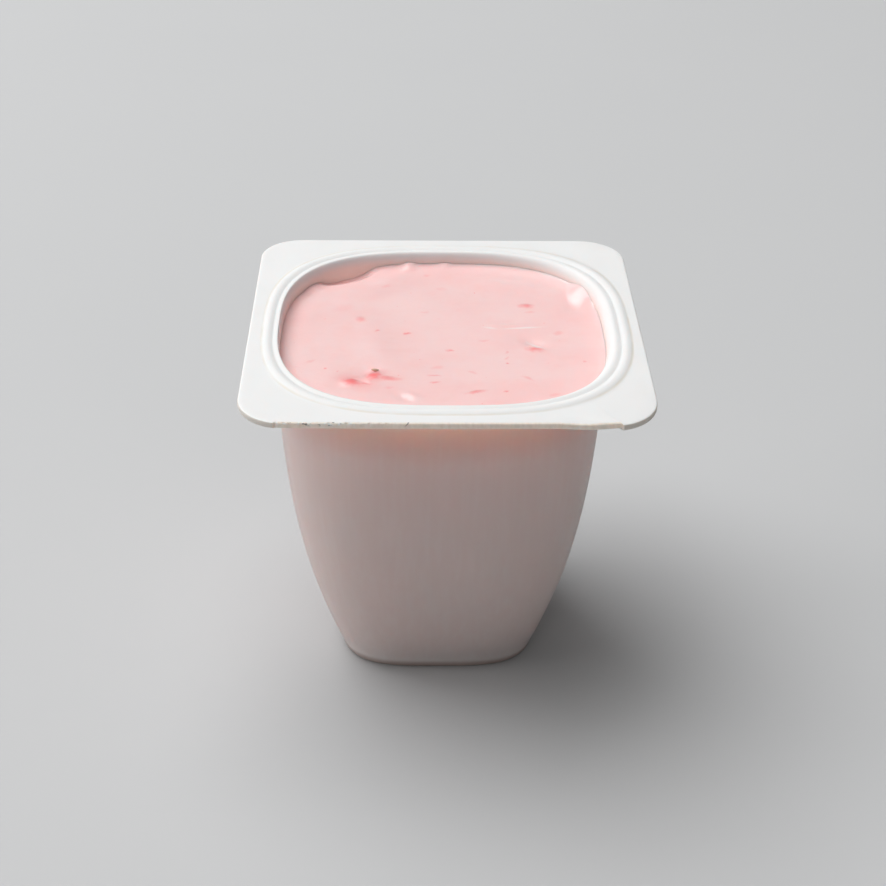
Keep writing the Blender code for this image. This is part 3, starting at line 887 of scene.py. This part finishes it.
def spot_group():
    """A node group: a soft oval spot, at its full strength in its middle and 0 outside it."""
    group = bpy.data.node_groups.new("soft_spot", "ShaderNodeTree")
    for name in ("Place", "Middle", "Turn", "Half"):
        group.interface.new_socket(name, in_out="INPUT", socket_type="NodeSocketVector")
    group.interface.new_socket("Strength", in_out="INPUT", socket_type="NodeSocketFloat")
    group.interface.new_socket("Cover", in_out="OUTPUT", socket_type="NodeSocketFloat")
    nodes, links = group.nodes, group.links
    source, result = nodes.new("NodeGroupInput"), nodes.new("NodeGroupOutput")
    oval = nodes.new("ShaderNodeMapping")
    oval.vector_type = "TEXTURE"
    length = nodes.new("ShaderNodeVectorMath")
    length.operation = "LENGTH"
    soft = nodes.new("ShaderNodeMapRange")
    soft.interpolation_type = "SMOOTHSTEP"
    soft.inputs["From Min"].default_value = 1.5
    soft.inputs["From Max"].default_value = 0.1
    for socket, output in zip(oval.inputs, list(source.outputs)[:4]):
        links.new(output, socket)
    links.new(oval.outputs[0], length.inputs[0])
    links.new(length.outputs["Value"], soft.inputs["Value"])
    links.new(source.outputs["Strength"], soft.inputs["To Max"])
    links.new(soft.outputs["Result"], result.inputs[0])
    return group


def spot_mask(board, group, place, spots, level):
    """How strongly the spots cover a place. Each has a middle, a length, a width, a turn and a strength."""
    mask = None
    for x, y, length, width, turn, strength in spots:
        spot = board.add(
            "ShaderNodeGroup", {"node_tree": group}, Place=place, Middle=(x * MM, y * MM, level),
            Turn=(0.0, 0.0, math.radians(turn)), Half=(length * MM / 2.0, width * MM / 2.0, 3.0 * MM),
            Strength=strength,
        ).outputs["Cover"]
        mask = spot if mask is None else board.math("MAXIMUM", mask, spot)
    return mask


def yogurt_material(finishes, level):
    """Yogurt: light sinks into it. Cream streaks, painted highlights along its folds, blurred fruit and a wet
    surface at this level.
    """
    board = NodeBoard("strawberry_yogurt")
    streaks = board.noise(1.0, 4.0, 0.55, place=board.stretch((60.0, 95.0, 60.0)))
    tone = board.mix(board.ramp(streaks, 0.35, 0.68), finishes.yogurt, finishes.yogurt_cream)
    tone = board.mix(board.ramp(board.noise(230.0, 2.0), 0.56, 0.78, 0.0, 0.2), tone, finishes.blush)
    blur = 1.1 * MM
    wander = board.add("ShaderNodeTexNoise", Vector=board.place, Scale=900.0, Detail=3.0).outputs["Color"]
    moved = board.add(
        "ShaderNodeVectorMath", {"operation": "MULTIPLY_ADD"}, _0=wander, _1=(blur,) * 3, _2=board.place
    )
    centred = board.add(
        "ShaderNodeVectorMath", {"operation": "SUBTRACT"}, _0=moved.outputs[0], _1=(blur / 2.0,) * 3
    )
    group = spot_group()
    red = [(*spot[:5], spot[6]) for spot in FRUIT] + FLECKS
    fruit = spot_mask(board, group, centred.outputs[0], red, level)
    specks = board.ramp(board.noise(1300.0, 1.0), 0.76, 0.84, 0.0, 0.5)
    tone = board.mix(board.math("MAXIMUM", fruit, specks), tone, finishes.fruit)
    # Painted highlights: pale streaks along the ridge and beside the right fruit.
    tone = board.mix(spot_mask(board, group, board.place, PAINTED_GLINTS, level), tone, finishes.fold)
    relief = board.bump(board.noise(420.0, 2.0), 0.1, 0.3 * MM)
    relief = board.bump(board.noise(3200.0, 2.0), 0.06, 0.03 * MM, relief)
    return board.finish(
        Base_Color=tone, Roughness=0.15, Normal=relief, IOR=1.4,
        Subsurface_Weight=1.0, Subsurface_Radius=(1.3, 0.9, 0.8), Subsurface_Scale=0.6 * MM,
    )


def deep_material(finishes):
    """The yogurt behind the wall: light from the surface travels far in it, and glows through the sheet."""
    board = NodeBoard("deep_yogurt")
    clouds = board.ramp(board.noise(120.0), 0.3, 0.7, 0.0, 0.15)
    tone = board.mix(clouds, finishes.yogurt_deep, finishes.yogurt_cream)
    return board.finish(
        Base_Color=tone, Roughness=0.4, IOR=1.4,
        Subsurface_Weight=1.0, Subsurface_Radius=(14.0, 10.0, 8.0), Subsurface_Scale=MM,
    )


def seed_material(finishes):
    """A strawberry seed: brown and glossy, with fine lines along it."""
    board = NodeBoard("strawberry_seed")
    lines = board.noise(1.0, place=board.stretch((900.0, 6000.0, 4000.0)))
    tone = board.mix(board.ramp(lines, 0.3, 0.7), finishes.seed, finishes.seed_line)
    return board.finish(Base_Color=tone, Roughness=0.3, Normal=board.bump(lines, 0.3, 0.03 * MM))


def floor_material(finishes):
    """A plain matt finish with a faint unevenness, for the floor."""
    board = NodeBoard("floor_paint")
    uneven = board.ramp(board.noise(14.0), 0.3, 0.7, 0.0, 0.06)
    base = board.mix(uneven, finishes.floor, finishes.floor_patch)
    return board.finish(Base_Color=base, Roughness=0.7, Specular_IOR_Level=0.0)


def gaussian(x, y, middle_x, middle_y, along, across, turn, height, power=1.0):
    """A smooth swell, in mm; a higher power gives it a flatter top."""
    turned = math.radians(turn)
    over, up = x / MM - middle_x, y / MM - middle_y
    first = (over * math.cos(turned) + up * math.sin(turned)) / along
    second = (up * math.cos(turned) - over * math.sin(turned)) / across
    return height * np.exp(-((first**2 + second**2) ** power))


def unit(vector):
    """The vector with a length of one."""
    return vector / np.linalg.norm(vector)


def glint_height(x, y, glint, level, eye, window):
    """A small patch tilted so that it mirrors the window to the camera, in mm."""
    middle_x, middle_y, length, width, turn, lift = glint
    spot = np.array([middle_x * MM, middle_y * MM, level])
    facing = unit(unit(np.array(eye) - spot) + unit(np.array(window) - spot))
    slope = -facing[:2] / facing[2]
    plane = slope[0] * (x / MM - middle_x) + slope[1] * (y / MM - middle_y)
    lifted = plane + lift * np.linalg.norm(slope) * width / 2.0
    return lifted * gaussian(x, y, middle_x, middle_y, length / 1.7, width / 1.7, turn, 1.0, 1.6)


def surface_height(form, filling, eye, window, x, y, out):
    """The height of the yogurt's surface. out is 0 in the middle and 1 at the wall."""
    level = form.sizes.flange_top - filling.level_depth
    angles = form.angles
    edge = np.exp(-(((1.0 - out) / filling.dip_width) ** 2))
    height = level - edge * filling.left_dip * np.maximum(-np.cos(angles), 0.0) ** 2
    height = height + edge * filling.right_rise * np.maximum(np.cos(angles), 0.0)
    height = height + edge * filling.back_rise * np.maximum(np.sin(angles), 0.0)
    across = (1.0 - out) / filling.hollow_width
    along = (angles - filling.hollow_turn) / filling.hollow_spread
    height = height - filling.hollow_depth * np.exp(-((across**2 + along**2) ** 2))
    height = height + filling.meniscus * np.exp(-(1.0 - out) / filling.meniscus_width)
    relief = sum(gaussian(x, y, *numbers) for numbers in SWELLS)
    for middle_x, middle_y, length, width, turn, rise, _ in FRUIT:
        relief = relief + gaussian(x, y, middle_x, middle_y, length / 2.0, width / 2.0, turn, rise, 1.2)
    ridge_y = RIDGE_Y - RIDGE_SAG * np.cos(TURN * (x / MM - RIDGE_X) / RIDGE_WAVE)
    ridge = np.exp(-(((y / MM - ridge_y) / RIDGE_HALF_WIDTH) ** 2))
    ridge = ridge * ease(1.0, 0.0, abs(x / MM - RIDGE_X) / RIDGE_HALF_LENGTH)
    relief = relief + ridge * filling.ridge_height / MM
    for glint in GLINTS:
        relief = relief + glint_height(x, y, glint, level, eye, window)
    return height + relief * MM


def yogurt_rings(form, filling, eye, window):
    """The rings of the filling, from its bottom, up inside the wall, and in over its surface."""
    s = form.sizes
    bite = filling.bite
    skin = s.base_skin - bite
    rings = [
        form.base_ring(s.recess_half - s.base_skin, s.recess_height + skin),
        form.base_ring(s.standing_inner, skin),
        form.base_ring(s.standing_outer - skin, skin),
    ]
    bottom = form.WALL_END + skin
    top = s.flange_top - filling.level_depth - filling.left_dip - filling.hollow_depth - 2.0 * bite
    steps = 30
    for index in range(steps + 1):
        height = bottom + (top - bottom) * index / steps
        rings.append(form.wall_ring(height, form.skin(height) - bite))
    level = s.flange_top - filling.level_depth
    middle = form.shift(level)
    brim = form.wall_ring(level, form.skin(level) - bite)
    circles = 124
    for index in range(circles):
        out = 1.0 - index / circles if index else 1.0
        x = middle + (brim[:, 0] - middle) * out
        y = brim[:, 1] * out
        rings.append(form.level(x, y, surface_height(form, filling, eye, window, x, y, out)))
    return rings


class POT_OT_shell(bpy.types.Operator):
    """Model the plastic pot: body, flange, sealing ring and the torn front edge"""

    bl_idname = "yogurt_pot.shell"
    bl_label = "Pot"

    def execute(self, context):
        sizes, finishes = context.scene.pot_sizes, context.scene.pot_finishes
        pot = extrude_shell("pot_shell", pot_rings(PotForm(sizes, columns=320, with_snap=True)))
        roughen_snap(pot, sizes)
        bend_flange(pot, sizes)
        mark_wall(pot, sizes)
        top, sink = sizes.flange_top, 0.35 * MM
        # Inside the lip the sheet turns pink towards the yogurt: partly a film of yogurt, partly painted pink
        # bounce light from it.
        film_and_bounce_low, film_and_bounce_high, lip_sink = top - 2.2 * MM, top - 0.3 * MM, 0.12 * MM
        # Painted shade along the outer crease of the sealing bead.
        crease_shade = (finishes.crease_shade, sizes.ring_outer, sizes)
        finish = [
            sheet_material("white_plastic", finishes.plastic, finishes.plastic, 0.0, top, sink, crease_shade),
            torn_material(finishes, sizes),
            wall_material(finishes, sizes),
            sheet_material("lip_plastic", finishes.mouth, finishes.film_and_bounce, film_and_bounce_low, film_and_bounce_high, lip_sink),
            # Painted shade: the cut edge is a darker copy of the white sheet.
            sheet_material("cut_edge_shaded_plastic", finishes.cut, finishes.cut, 0.0, top, sink),
        ]
        finish_piece(pot, finish, math.radians(50.0))
        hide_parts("pot")
        return {"FINISHED"}


class POT_OT_yogurt(bpy.types.Operator):
    """Fill the pot: the wet surface with its hollow, swells, fruit and fold"""

    bl_idname = "yogurt_pot.yogurt"
    bl_label = "Yogurt"

    def execute(self, context):
        scene = context.scene
        amounts, studio = scene.pot_filling, scene.pot_studio
        form = PotForm(scene.pot_sizes, columns=400, with_snap=False)
        filling = extrude_shell(
            "yogurt_fill", yogurt_rings(form, amounts, studio.camera_place, studio.window_place)
        )
        for face in filling.data.polygons:
            face.material_index = int(face.normal.z < 0.5)
        level = scene.pot_sizes.flange_top - amounts.level_depth
        finish = [yogurt_material(scene.pot_finishes, level), deep_material(scene.pot_finishes)]
        finish_piece(filling, finish, math.radians(80.0))
        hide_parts("yogurt")
        return {"FINISHED"}


class POT_OT_seed(bpy.types.Operator):
    """Lay the strawberry seed on the redder piece of fruit"""

    bl_idname = "yogurt_pot.seed"
    bl_label = "Seed"

    def execute(self, context):
        scene = context.scene
        filling = scene.pot_filling
        level = scene.pot_sizes.flange_top - filling.level_depth
        place = Vector(filling.seed_place) + Vector((0.0, 0.0, level))
        deselect_all()
        bpy.ops.mesh.primitive_uv_sphere_add(segments=40, ring_count=24, radius=0.5, location=place)
        seed = context.active_object
        seed.name = "seed"
        seed.data.name = "seed"
        taper, flatness, ridges, ridge_height = 0.55, 0.8, 9.0, 0.04
        for vertex in seed.data.vertices:
            x, y, z = vertex.co
            ridge = ridge_height * math.cos(ridges * math.atan2(z, y))
            girth = (1.0 - taper * max(x, 0.0)) * (1.0 + ridge)
            vertex.co = (x, y * girth, z * girth)
        width = filling.seed_width
        bpy.ops.transform.resize(value=(filling.seed_length, width, width * flatness))
        seed.rotation_euler = (0.0, math.radians(6.0), math.radians(5.0))
        bpy.ops.object.transform_apply(location=True, rotation=True, scale=True)
        finish_piece(seed, [seed_material(scene.pot_finishes)], math.radians(60.0))
        return {"FINISHED"}


def add_softbox(name, target, place, power, width, length=None):
    """A rectangular light that faces the target. Without a length it is square."""
    deselect_all()
    bpy.ops.object.light_add(type="AREA", location=place)
    lamp = bpy.context.active_object
    lamp.name = name
    lamp.data.shape = "RECTANGLE"
    lamp.data.size = width
    lamp.data.size_y = length or width
    lamp.data.energy = power
    lamp.rotation_euler = (Vector(target) - Vector(place)).to_track_quat("-Z", "Y").to_euler()
    return lamp


class POT_OT_stage(bpy.types.Operator):
    """Lay the floor, hang the lights and set up the camera"""

    bl_idname = "yogurt_pot.stage"
    bl_label = "Stage"

    def execute(self, context):
        scene = context.scene
        studio = scene.pot_studio
        deselect_all()
        bpy.ops.object.camera_add(location=studio.camera_place, rotation=studio.camera_turn)
        camera = context.active_object
        camera.name = "camera"
        camera.data.lens = studio.lens
        camera.data.clip_start = studio.nearest
        scene.camera = camera
        bpy.ops.mesh.primitive_plane_add(size=studio.floor_size)
        floor = context.active_object
        floor.name = "floor"
        floor.data.materials.append(floor_material(scene.pot_finishes))
        mouth = (0.0, 0.0, scene.pot_sizes.flange_top)
        add_softbox("key", mouth, studio.key_place, studio.key_power, studio.key_size)
        add_softbox("front", mouth, studio.front_place, studio.front_power, studio.front_size)
        side = add_softbox("side", mouth, studio.side_place, studio.side_power, studio.side_size)
        side.visible_glossy = False
        width, height = studio.window_width, studio.window_height
        window = add_softbox("window", mouth, studio.window_place, studio.window_power, width, height)
        window.data.shape = "ELLIPSE"
        window.visible_diffuse = False
        world = bpy.data.worlds.new("studio")
        scene.world = world
        world.use_nodes = True
        sky = world.node_tree.nodes["Background"]
        sky.inputs["Color"].default_value = (1.0, 1.0, 1.0, 1.0)
        sky.inputs["Strength"].default_value = studio.fill
        scene.view_settings.view_transform = "Standard"
        return {"FINISHED"}


class POT_PT_panel(bpy.types.Panel):
    """The steps that make the model, in the order in which they run"""

    bl_label = "Yogurt Pot"
    bl_idname = "POT_PT_panel"
    bl_space_type = "VIEW_3D"
    bl_region_type = "UI"
    bl_category = "Yogurt Pot"

    def draw(self, context):
        for operator in OPERATORS:
            self.layout.operator(operator.bl_idname)


GROUPS = {"pot_sizes": PotSizes, "pot_filling": YogurtSizes, "pot_finishes": Finishes, "pot_studio": Studio}
OPERATORS = (POT_OT_stage, POT_OT_shell, POT_OT_yogurt, POT_OT_seed)


def register():
    for group in GROUPS.values():
        bpy.utils.register_class(group)
    for operator in OPERATORS:
        bpy.utils.register_class(operator)
    bpy.utils.register_class(POT_PT_panel)
    for name, group in GROUPS.items():
        setattr(bpy.types.Scene, name, PointerProperty(type=group))


def unregister():
    for name in GROUPS:
        delattr(bpy.types.Scene, name)
    bpy.utils.unregister_class(POT_PT_panel)
    for piece_class in (*OPERATORS, *GROUPS.values()):
        bpy.utils.unregister_class(piece_class)


def main():
    register()
    bpy.ops.yogurt_pot.stage()
    bpy.ops.yogurt_pot.shell()
    bpy.ops.yogurt_pot.yogurt()
    bpy.ops.yogurt_pot.seed()


if __name__ == "__main__":
    main()
